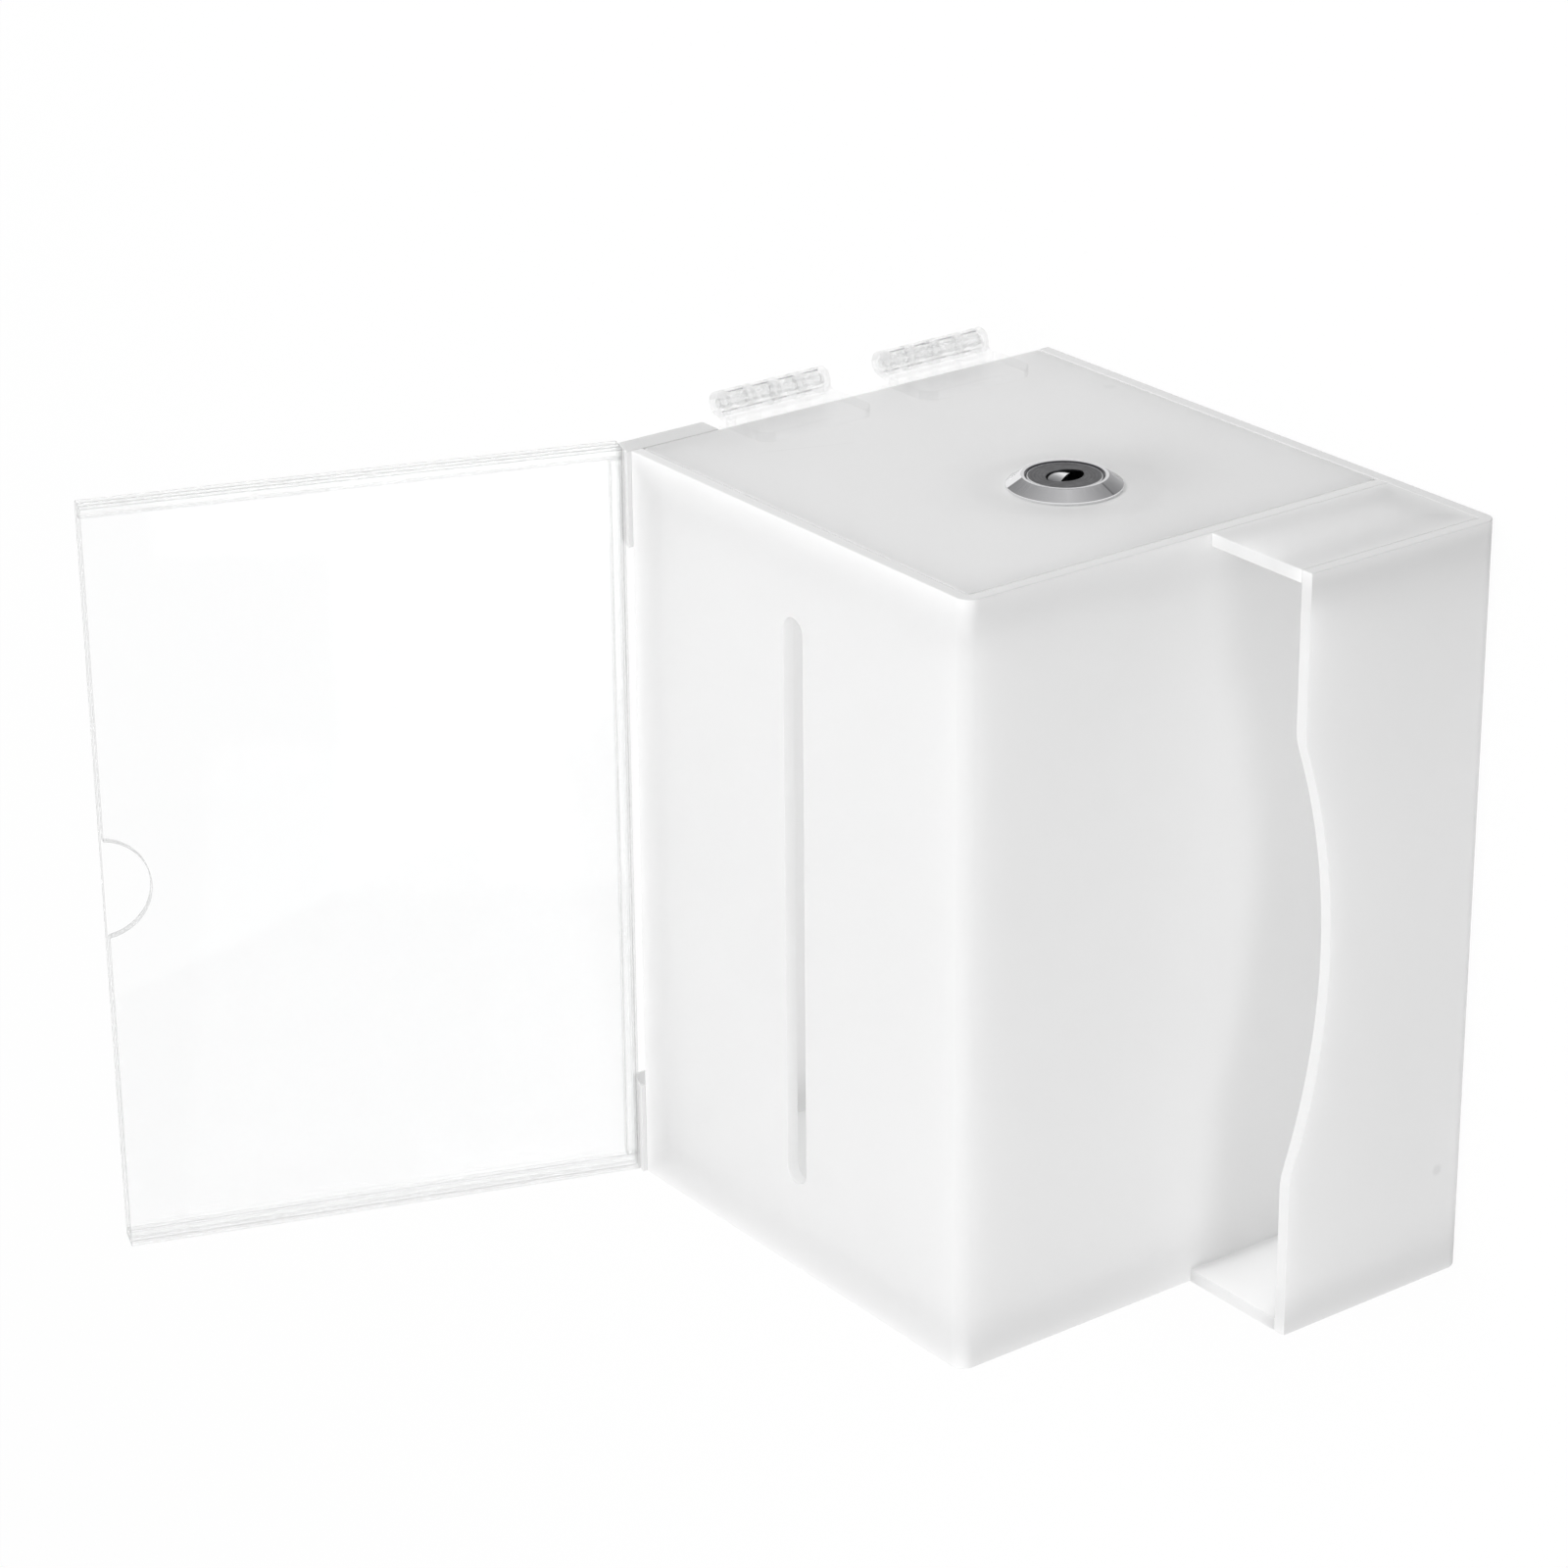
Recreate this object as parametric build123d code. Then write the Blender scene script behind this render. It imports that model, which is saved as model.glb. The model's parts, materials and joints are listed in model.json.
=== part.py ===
from build123d import *
from math import cos, radians, sin, tan
import os

# Ballot box of bent opal acrylic sheet with a lockable side door, a leaflet pocket on the
# front and a clear sign holder leaning back above the rear edge.
# Millimetres. The origin is the middle of the box's underside, without the pocket.
# +X is the door side, +Y is the back and +Z points up through the slotted top.

# Box
WIDTH = 158.0
DEPTH = 104.0
HEIGHT = 105.4
SHEET = 2.7
BEND_RADIUS = 3.0
DOOR_GAP = 0.3
SLOT_LENGTH = 120.0
SLOT_WIDTH = 6.0

# Leaflet pocket on the front
POCKET_DEPTH = 27.4
POCKET_HEIGHT = 47.2
CUTOUT_CHORD = 91.0
CUTOUT_DEPTH = 8.3
CUTOUT_BLEND = 12.0

# Clear sign holder and the two ears that carry it
HOLDER_LENGTH = 106.8
HOLDER_LEAN = 19.4
HOLDER_SETBACK = 1.5
HOLDER_LIFT = 0.5
CLEAR_SHEET = 2.0
CARD_GAP = 1.8
SIDE_STRIP = 2.6
BOTTOM_STRIP = 2.4
THUMB_RADIUS = 10.3
THUMB_RISE = 1.3
EAR_WIDTH = 20.0
EAR_THICKNESS = 5.6
EAR_DROP = 21.2

# Moulded hinges
HINGE_OFFSET = 3.7
HINGE_BELOW_SHARE = 0.5
HINGE_ABOVE_SHARE = 0.05
LEAF_LENGTH = 28.0
LEAF_REACH = 16.7
LEAF_THICKNESS = 2.0
LEAF_CORNER = 3.5
BARREL_RADIUS = 2.55
BARREL_LENGTH = 26.5
RIB_LENGTH = 1.8
RIB_COUNT = 5
KNUCKLE_GAP = 0.15
PIN_RADIUS = 1.0
PIN_CLEARANCE = 0.06
PIN_INSET = 0.3

# Cam lock
LOCK_SETBACK = 36.5
LOCK_HEIGHT = 52.0
FLANGE_RADIUS = 11.35
FLANGE_EDGE = 0.5
FLANGE_HEIGHT = 2.4
RIM_RADIUS = 8.4
RIM_BEVEL = 0.45
BODY_RADIUS = 9.2
BODY_FLATS = 16.0
BODY_LENGTH = 12.0
BODY_CLEARANCE = 0.15
PLUG_HEAD_RADIUS = 7.4
PLUG_HEAD_DEPTH = 2.0
PLUG_HEAD_RECESS = 0.3
PLUG_HEAD_EDGE = 0.2
PLUG_RADIUS = 5.8
PLUG_CLEARANCE = 0.05
PLUG_STANDOFF = 0.1
KEY_MOUTH_LENGTH = 8.6
KEY_MOUTH_WIDTH = 6.4
KEY_MOUTH_DEPTH = 1.7
KEYWAY_LENGTH = 5.4
KEYWAY_WIDTH = 1.8
KEYWAY_OFFSET = 1.4
KEYWAY_DEPTH = 7.0
SHUTTER_RADIUS = 3.0
SHUTTER_CROWN = 9.0
SHUTTER_SINK = 0.05
SHUTTER_OFFSET = 1.1
SHUTTER_LIFT = 0.1
SHUTTER_LIP = 0.1
SHUTTER_TURN = 28.0
SHUTTER_CLEARANCE = 0.1
TAIL_SIDE = 7.0
TAIL_CLEARANCE = 0.1
NUT_FLATS = 22.0
NUT_THICKNESS = 2.8
NUT_CLEARANCE = 0.05
CAM_THICKNESS = 2.0
CAM_HUB_RADIUS = 8.0
CAM_TIP_RADIUS = 5.5
CAM_REACH = 31.0
SCREW_RADIUS = 2.4
SCREW_DEPTH = 5.0
SCREW_CLEARANCE = 0.05
SCREW_HEAD_RADIUS = 4.6
SCREW_HEAD_HEIGHT = 2.6
SCREW_HEAD_EDGE = 0.6
SCREW_SLOT_WIDTH = 1.2
SCREW_SLOT_DEPTH = 1.0

# Strike block behind the door's free edge
STRIKE_WIDTH = 8.0
STRIKE_LENGTH = 24.0
STRIKE_GAP = 0.4

# Cuts run past the material by this much
OVERRUN = 1.0

# Faces and planes that pieces share
SIDE = WIDTH / 2
FRONT = -DEPTH / 2
BACK = DEPTH / 2
INNER_SIDE = SIDE - SHEET
INNER_FRONT = FRONT + SHEET
INNER_BACK = BACK - SHEET
INNER_TOP = HEIGHT - SHEET
POCKET_FRONT = FRONT - POCKET_DEPTH
HOLDER_FOOT = Vector(0, BACK + HOLDER_SETBACK, HEIGHT + HOLDER_LIFT)
HOLDER_FACE = Plane(
    origin=HOLDER_FOOT,
    x_dir=(1, 0, 0),
    z_dir=(0, -cos(radians(HOLDER_LEAN)), sin(radians(HOLDER_LEAN))),
)
HINGE_X = SIDE + HINGE_OFFSET
HINGE_Y = BACK + HINGE_OFFSET
# The hinges stand between the underside and the ears, and share the height left free there
HINGE_ROOM = HEIGHT - EAR_DROP - 2 * LEAF_LENGTH
HINGE_HEIGHTS = {
    "lower": HINGE_BELOW_SHARE * HINGE_ROOM + LEAF_LENGTH / 2,
    "upper": HEIGHT - EAR_DROP - HINGE_ABOVE_SHARE * HINGE_ROOM - LEAF_LENGTH / 2,
}
LOCK_Y = FRONT + LOCK_SETBACK
# The lock is drawn with its axis along +Z, its flange sitting on z = 0 and +Y towards the
# back of the box, and this plane carries it to the door's outer face.
LOCK_SEAT = Plane(origin=(SIDE, LOCK_Y, LOCK_HEIGHT), x_dir=(0, 0, -1), z_dir=(1, 0, 0))
CAM_FACE = -BODY_LENGTH - PLUG_STANDOFF
PLUG_FACE = FLANGE_HEIGHT - PLUG_HEAD_RECESS


def bent_sheet(outer, inner):
    """Sheet folded along a line: its outer and inner outlines in Y and Z, drawn across the box."""
    outside = FilletPolyline(*outer, radius=BEND_RADIUS)
    inside = FilletPolyline(*inner, radius=BEND_RADIUS - SHEET)
    ends = [Line(outside @ 1, inside @ 0), Line(inside @ 1, outside @ 0)]
    section = make_face([outside, inside, *ends])
    return extrude(Plane.YZ * section, amount=SIDE, both=True)


def top_front_shell():
    outer = [(BACK, HEIGHT), (FRONT, HEIGHT), (FRONT, SHEET)]
    inner = [(INNER_FRONT, SHEET), (INNER_FRONT, INNER_TOP), (BACK, INNER_TOP)]
    slot = extrude(SlotOverall(SLOT_LENGTH, SLOT_WIDTH), amount=SHEET + 2 * OVERRUN)
    return bent_sheet(outer, inner) - Pos(0, 0, INNER_TOP - OVERRUN) * slot


def base_pocket_shell():
    outer = [(BACK, 0), (POCKET_FRONT, 0), (POCKET_FRONT, POCKET_HEIGHT)]
    lip = POCKET_FRONT + SHEET
    inner = [(lip, POCKET_HEIGHT), (lip, SHEET), (BACK, SHEET)]
    half_chord = CUTOUT_CHORD / 2
    radius = (half_chord**2 + CUTOUT_DEPTH**2) / (2 * CUTOUT_DEPTH)
    disc = Cylinder(radius, SHEET + 2 * OVERRUN, rotation=(90, 0, 0))
    disc_place = Pos(0, POCKET_FRONT + SHEET / 2, POCKET_HEIGHT - CUTOUT_DEPTH + radius)
    shell = bent_sheet(outer, inner) - disc_place * disc
    lip_edges = shell.edges().filter_by(Axis.Y).group_by(Axis.Z)[-1].sort_by(Axis.X)
    return fillet(lip_edges[1:-1], radius=CUTOUT_BLEND)


def upright_panel(low, high, corner):
    """Sheet standing in Y and Z, its outer face on x = 0, rounded where it meets a bend."""
    outline = Rectangle(high[0] - low[0], high[1] - low[1], align=Align.MIN)
    points = outline.vertices().sort_by(Axis.Y)
    at_bend = points[2:] if corner == "top" else points[:2]
    outline = fillet(at_bend.sort_by(Axis.X)[0], radius=BEND_RADIUS - SHEET)
    return extrude(Plane.YZ * (Pos(*low) * outline), amount=-SHEET)


def side_panel():
    panel = upright_panel((INNER_FRONT, SHEET), (BACK, INNER_TOP), "top")
    return Pos(-INNER_SIDE, 0, 0) * panel


def back_panel():
    width = 2 * INNER_SIDE - DOOR_GAP
    panel = Box(width, SHEET, INNER_TOP - SHEET, align=Align.MIN)
    return Pos(-INNER_SIDE, INNER_BACK, SHEET) * panel


def pocket_cheeks():
    cheek = upright_panel((POCKET_FRONT + SHEET, SHEET), (FRONT, POCKET_HEIGHT), "bottom")
    return {
        "pocket_cheek_left": Pos(-INNER_SIDE, 0, 0) * cheek,
        "pocket_cheek_right": Pos(SIDE, 0, 0) * cheek,
    }


def body_outline(clearance):
    """Round lock body with two flats, which keep it from turning in the door."""
    flats = Rectangle(BODY_FLATS + 2 * clearance, 2 * (BODY_RADIUS + clearance))
    return Circle(BODY_RADIUS + clearance) & flats


def door_panel():
    low = (INNER_FRONT + DOOR_GAP, SHEET + DOOR_GAP)
    high = (BACK - DOOR_GAP, INNER_TOP - DOOR_GAP)
    panel = Pos(SIDE, 0, 0) * upright_panel(low, high, "top")
    hole = extrude(body_outline(BODY_CLEARANCE), amount=SHEET + OVERRUN, both=True)
    return panel - LOCK_SEAT * hole


def strike_block():
    """Block glued inside the front sheet: the door shuts on it and the cam turns behind it."""
    outer_face = INNER_SIDE - DOOR_GAP
    inner_face = SIDE + CAM_FACE + STRIKE_GAP
    block = Box(outer_face - inner_face, STRIKE_WIDTH, STRIKE_LENGTH, align=Align.MIN)
    return Pos(inner_face, INNER_FRONT, LOCK_HEIGHT - STRIKE_LENGTH / 2) * block


def holder_layer(outline, depth, thickness):
    """Layer of the sign holder, drawn on its front face and set back by a depth."""
    return HOLDER_FACE * extrude(Pos(0, 0, -depth) * outline, amount=-thickness)


def sign_holder():
    full = Rectangle(WIDTH, HOLDER_LENGTH, align=(Align.CENTER, Align.MIN))
    thumb = Pos(0, HOLDER_LENGTH + THUMB_RISE) * Circle(THUMB_RADIUS)
    side = Rectangle(SIDE_STRIP, HOLDER_LENGTH, align=Align.MIN)
    bottom_width = WIDTH - 2 * SIDE_STRIP
    bottom = Rectangle(bottom_width, BOTTOM_STRIP, align=(Align.CENTER, Align.MIN))
    behind_card = CLEAR_SHEET + CARD_GAP
    return {
        "sign_front_sheet": holder_layer(full - thumb, 0, CLEAR_SHEET),
        "sign_rear_sheet": holder_layer(full, behind_card, CLEAR_SHEET),
        "sign_strip_left": holder_layer(Pos(-SIDE, 0) * side, CLEAR_SHEET, CARD_GAP),
        "sign_strip_right": holder_layer(
            Pos(SIDE - SIDE_STRIP, 0) * side, CLEAR_SHEET, CARD_GAP
        ),
        "sign_strip_bottom": holder_layer(bottom, CLEAR_SHEET, CARD_GAP),
    }


def holder_ears():
    """Thick blocks on the back face, cut off along the holder's sloping lower edge."""

    def seat_height(y):
        return HOLDER_FOOT.Z - (y - HOLDER_FOOT.Y) * tan(radians(HOLDER_LEAN))

    rear = BACK + EAR_THICKNESS
    foot = HEIGHT - EAR_DROP
    corners = [(BACK, foot), (rear, foot), (rear, seat_height(rear)), (BACK, seat_height(BACK))]
    ear = extrude(Plane.YZ * make_face(Polyline(*corners, close=True)), amount=EAR_WIDTH)
    return {
        "holder_ear_left": Pos(-SIDE, 0, 0) * ear,
        "holder_ear_right": Pos(SIDE - EAR_WIDTH, 0, 0) * ear,
    }


def knuckle(length, bottom):
    """Ring round the pin with the web that joins it to a leaf lying along -Y."""
    leaf_end = HINGE_OFFSET + DOOR_GAP
    web = Polyline(
        (-HINGE_OFFSET, -leaf_end),
        (LEAF_THICKNESS - HINGE_OFFSET, -leaf_end),
        (0, -PIN_RADIUS),
        (0, 0),
        (-BARREL_RADIUS, 0),
        close=True,
    )
    ring = Circle(BARREL_RADIUS) + make_face(web)
    ring -= Circle(PIN_RADIUS + PIN_CLEARANCE)
    return Pos(0, 0, bottom) * extrude(ring, amount=length)


def hinge_leaf(length, bottoms):
    """Leaf on the face at x = -HINGE_OFFSET beside its pin, with knuckles at some heights."""
    leaf_end = HINGE_OFFSET + DOOR_GAP
    outline = Rectangle(LEAF_REACH - leaf_end, LEAF_LENGTH, align=(Align.MIN, Align.CENTER))
    outline = fillet(outline.vertices().group_by(Axis.X)[0], radius=LEAF_CORNER)
    plate = extrude(Plane.YZ * outline, amount=LEAF_THICKNESS)
    leaf = Pos(-HINGE_OFFSET, -LEAF_REACH, 0) * plate
    for bottom in bottoms:
        leaf += knuckle(length, bottom)
    return leaf


def hinges():
    """Two hinges: five thin knuckles on the door leaf, four wide ones on the back leaf."""
    wide_count = RIB_COUNT - 1
    spare = BARREL_LENGTH - RIB_COUNT * RIB_LENGTH - 2 * wide_count * KNUCKLE_GAP
    wide_length = spare / wide_count
    pitch = RIB_LENGTH + wide_length + 2 * KNUCKLE_GAP
    foot = -BARREL_LENGTH / 2
    thin_bottoms = [foot + i * pitch for i in range(RIB_COUNT)]
    wide_bottoms = [foot + RIB_LENGTH + KNUCKLE_GAP + i * pitch for i in range(wide_count)]
    door_leaf = hinge_leaf(RIB_LENGTH, thin_bottoms)
    across_corner = Plane(origin=(0, 0, 0), z_dir=(1, -1, 0))
    back_leaf = mirror(hinge_leaf(wide_length, wide_bottoms), about=across_corner)
    pin = Cylinder(PIN_RADIUS, BARREL_LENGTH - 2 * PIN_INSET)
    pieces = {}
    for name, height in HINGE_HEIGHTS.items():
        place = Pos(HINGE_X, HINGE_Y, height)
        pieces[f"hinge_{name}_door_leaf"] = place * door_leaf
        pieces[f"hinge_{name}_back_leaf"] = place * back_leaf
        pieces[f"hinge_{name}_pin"] = place * pin
    return pieces


def lock_housing():
    """Cone-edged flange turned in one with a bored body that has two flats."""
    flange = Polyline(
        (0, 0),
        (FLANGE_RADIUS, 0),
        (FLANGE_RADIUS, FLANGE_EDGE),
        (RIM_RADIUS, FLANGE_HEIGHT),
        (0, FLANGE_HEIGHT),
        close=True,
    )
    turned = revolve(Plane.XZ * make_face(flange), axis=Axis.Z)
    body = extrude(body_outline(0), amount=-BODY_LENGTH)
    head_floor = PLUG_FACE - PLUG_HEAD_DEPTH - PLUG_CLEARANCE
    bore_radius = PLUG_HEAD_RADIUS + PLUG_CLEARANCE
    head_bore = extrude(Circle(bore_radius), amount=FLANGE_HEIGHT)
    rim_bevel = Cone(bore_radius, bore_radius + 2 * RIM_BEVEL, 2 * RIM_BEVEL)
    plug_bore = Cylinder(
        PLUG_RADIUS + PLUG_CLEARANCE,
        BODY_LENGTH + FLANGE_HEIGHT + OVERRUN,
        align=(Align.CENTER, Align.CENTER, Align.MAX),
    )
    housing = turned + body - Pos(0, 0, head_floor) * head_bore
    return housing - Pos(0, 0, FLANGE_HEIGHT) * rim_bevel - Pos(0, 0, FLANGE_HEIGHT) * plug_bore


def key_mouth(clearance):
    """Almond outline of the sunk mouth round the keyway, drawn smaller by a clearance."""
    half_length = KEY_MOUTH_LENGTH / 2 - clearance
    half_width = KEY_MOUTH_WIDTH / 2 - clearance
    radius = (half_length**2 + half_width**2) / (2 * half_width)
    shift = radius - half_width
    return Pos(0, shift) * Circle(radius) & Pos(0, -shift) * Circle(radius)


def lock_plug():
    """Turning core: a flat head with the keyway, a round core and a square tail for the cam."""
    head = Pos(0, 0, PLUG_FACE) * extrude(Circle(PLUG_HEAD_RADIUS), amount=-PLUG_HEAD_DEPTH)
    head = chamfer(head.edges().group_by(Axis.Z)[-1], length=PLUG_HEAD_EDGE)
    core = Pos(0, 0, CAM_FACE) * extrude(Circle(PLUG_RADIUS), amount=PLUG_FACE - CAM_FACE)
    tail = Pos(0, 0, CAM_FACE) * extrude(Rectangle(TAIL_SIDE, TAIL_SIDE), amount=-CAM_THICKNESS)
    keyway = Pos(0, -KEYWAY_OFFSET) * Rectangle(KEYWAY_LENGTH, KEYWAY_WIDTH)
    screw_hole = extrude(Circle(SCREW_RADIUS + SCREW_CLEARANCE), amount=SCREW_DEPTH + OVERRUN)
    plug = head + core + tail
    plug -= Pos(0, 0, PLUG_FACE) * extrude(key_mouth(0), amount=-KEY_MOUTH_DEPTH)
    plug -= Pos(0, 0, PLUG_FACE) * extrude(keyway, amount=-KEYWAY_DEPTH)
    return plug - Pos(0, 0, CAM_FACE - CAM_THICKNESS) * screw_hole


def lock_shutter():
    """Crowned flap on the floor of the mouth, with a slanting lip beside the keyway."""
    behind_lip = Rectangle(2 * KEY_MOUTH_LENGTH, KEY_MOUTH_LENGTH, align=(Align.CENTER, Align.MIN))
    outline = Pos(-SHUTTER_LIFT, SHUTTER_OFFSET) * Circle(SHUTTER_RADIUS)
    outline &= key_mouth(SHUTTER_CLEARANCE)
    outline &= Pos(0, -SHUTTER_LIP) * Rot(0, 0, SHUTTER_TURN) * behind_lip
    flap = Pos(0, 0, PLUG_FACE - KEY_MOUTH_DEPTH) * extrude(outline, amount=KEY_MOUTH_DEPTH)
    crown_centre = PLUG_FACE - SHUTTER_SINK - SHUTTER_CROWN
    return flap & Pos(-SHUTTER_LIFT, SHUTTER_OFFSET, crown_centre) * Sphere(SHUTTER_CROWN)


def lock_nut():
    """Hexagonal nut that clamps the door against the flange."""
    ring = RegularPolygon(NUT_FLATS / 2, side_count=6, major_radius=False)
    ring -= Circle(BODY_RADIUS + NUT_CLEARANCE)
    return Pos(0, 0, -SHEET) * extrude(ring, amount=-NUT_THICKNESS)


def lock_cam():
    """Arm from the plug's square tail, pointing down while the door is free to open."""
    tip = Pos(CAM_REACH - CAM_TIP_RADIUS, 0) * Circle(CAM_TIP_RADIUS)
    outline = make_hull(Circle(CAM_HUB_RADIUS).edges() + tip.edges())
    hole = TAIL_SIDE + 2 * TAIL_CLEARANCE
    arm = outline - Rectangle(hole, hole)
    return Pos(0, 0, CAM_FACE) * extrude(arm, amount=-CAM_THICKNESS)


def lock_cam_screw():
    """Slotted pan head screw that holds the cam on the tail."""
    seat = CAM_FACE - CAM_THICKNESS
    head = Cylinder(
        SCREW_HEAD_RADIUS,
        SCREW_HEAD_HEIGHT,
        align=(Align.CENTER, Align.CENTER, Align.MAX),
    )
    head = chamfer(head.edges().group_by(Axis.Z)[0], length=SCREW_HEAD_EDGE)
    slot = Box(2 * SCREW_HEAD_RADIUS, SCREW_SLOT_WIDTH, 2 * SCREW_SLOT_DEPTH)
    head -= Pos(0, 0, -SCREW_HEAD_HEIGHT) * slot
    return Pos(0, 0, seat) * (head + extrude(Circle(SCREW_RADIUS), amount=SCREW_DEPTH))


def lock():
    pieces = {
        "lock_housing": lock_housing(),
        "lock_plug": lock_plug(),
        "lock_shutter": lock_shutter(),
        "lock_nut": lock_nut(),
        "lock_cam": lock_cam(),
        "lock_cam_screw": lock_cam_screw(),
    }
    return {name: LOCK_SEAT * piece for name, piece in pieces.items()}


def ballot_box():
    return {
        "top_front_shell": top_front_shell(),
        "base_pocket_shell": base_pocket_shell(),
        "side_panel": side_panel(),
        "back_panel": back_panel(),
        "door_panel": door_panel(),
        "strike_block": strike_block(),
        **pocket_cheeks(),
        **sign_holder(),
        **holder_ears(),
        **hinges(),
        **lock(),
    }


os.makedirs("parts", exist_ok=True)
for node, solid in ballot_box().items():
    export_step(solid, f"parts/{node}.step")
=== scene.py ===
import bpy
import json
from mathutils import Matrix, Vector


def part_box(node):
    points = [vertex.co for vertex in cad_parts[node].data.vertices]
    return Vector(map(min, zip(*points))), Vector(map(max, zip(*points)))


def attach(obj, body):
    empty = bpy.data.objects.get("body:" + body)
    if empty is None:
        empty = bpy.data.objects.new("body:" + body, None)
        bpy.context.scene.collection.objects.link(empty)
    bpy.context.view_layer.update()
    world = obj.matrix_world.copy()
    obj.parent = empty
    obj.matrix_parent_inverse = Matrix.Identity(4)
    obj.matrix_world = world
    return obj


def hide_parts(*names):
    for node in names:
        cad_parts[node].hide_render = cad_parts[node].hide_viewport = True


bl_info = {
    "name": "Acrylic Ballot Box",
    "version": (1, 0, 0),
    "blender": (4, 5, 0),
    "location": "View3D > Sidebar > Ballot Box",
    "description": "Dresses a white acrylic ballot box: sheets, sign holder, hinges, lock, stage",
    "category": "Object",
}

import json
from math import radians, tau

import bmesh
import bpy
from bpy.props import FloatProperty, FloatVectorProperty, PointerProperty
from mathutils import Matrix, Vector

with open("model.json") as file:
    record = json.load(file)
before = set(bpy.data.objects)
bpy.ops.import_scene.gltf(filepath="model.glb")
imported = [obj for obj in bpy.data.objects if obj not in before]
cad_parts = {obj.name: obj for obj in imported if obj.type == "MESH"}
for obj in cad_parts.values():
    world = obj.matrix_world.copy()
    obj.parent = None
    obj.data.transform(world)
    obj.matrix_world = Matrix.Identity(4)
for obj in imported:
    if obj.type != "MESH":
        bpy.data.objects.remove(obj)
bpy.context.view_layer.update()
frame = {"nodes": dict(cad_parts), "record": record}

NODES = frame["nodes"]
BODY_OF = {
    node: body
    for body, members in frame["record"]["behaviour"]["bodies"].items()
    for node in members
}
SLOT_OF = {row["node"]: row["material_slot"] for row in frame["record"]["subparts"]}
WELD = 1e-6
FLAT_ANGLE = radians(0.4)
SHARP_ANGLE = radians(35)
# Facing under which a surface counts as turned away from a direction, so as rounded
ROUNDED = 0.985
# Way that the wide knuckles face where a painted dark line of shade runs along them, and how
# closely
RIDGE = Vector((0.928, -0.372, 0))
RIDGE_CLOSE = 0.997
# Depth of a hairline's grey, where 1 is the full colour of a mark
HAIRLINE_DEPTH = 0.2
# Ends of each sheet that another sheet is glued behind
JOINTS = {
    "top_front_shell": ("X-", "X+", "Y+"),
    "base_pocket_shell": ("X-", "X+", "Y+"),
    "side_panel": ("Y-", "Z-", "Z+"),
    "back_panel": ("X-", "Z-", "Z+"),
    "pocket_cheek_right": ("Y-", "Y+", "Z-"),
}
# Painted reflections on the chromed cone: its brightness by share of a turn
CHROME_PAINTED_REFLECTIONS = (
    (0.0, 0.6), (0.08, 1.0), (0.180, 1.0), (0.185, 0.0), (0.190, 0.20), (0.40, 0.60),
    (0.51, 0.32), (0.539, 0.28), (0.543, 0.0), (0.547, 0.20), (0.667, 0.28), (0.75, 0.45),
    (0.875, 0.8), (1.0, 0.6),
)
# Radii of the lock's foot with its painted highlight, its rim's outer and inner edge (a painted
# reflection tone between them, painted shade inside), and its plug's edge with a painted highlight
FOOT_RADIUS = 0.01128
RIM_OUTER = 0.00845
RIM_INNER = 0.0078
PLUG_EDGE = 0.0071
# Depth below the plug's face below which the key mouth is painted black as shade
MOUTH_SHADE_DEPTH = 0.00025
# Turned rings on the plug's face, in radians per metre of radius
RINGS = 9000.0
# Painted reflections on the key mouth's shutter: its brightness by share of its length, from the
# top down
SHUTTER_PAINTED_REFLECTIONS = ((0.0, 0.1), (0.3, 0.35), (0.55, 1.0), (0.7, 1.0), (0.85, 0.5), (1.0, 0.1))
SHUTTER_LENGTH = 0.006
# Name, place and size of each lamp
LAMPS = (
    ("key", (0.44, -0.12, 1.41), 1.1),
    ("front", (-0.16, -0.88, 0.235), 0.25),
    ("fill", (-0.42, -0.30, 0.06), 0.3),
    ("side", (0.42, 0.38, 0.12), 0.3),
)


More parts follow.
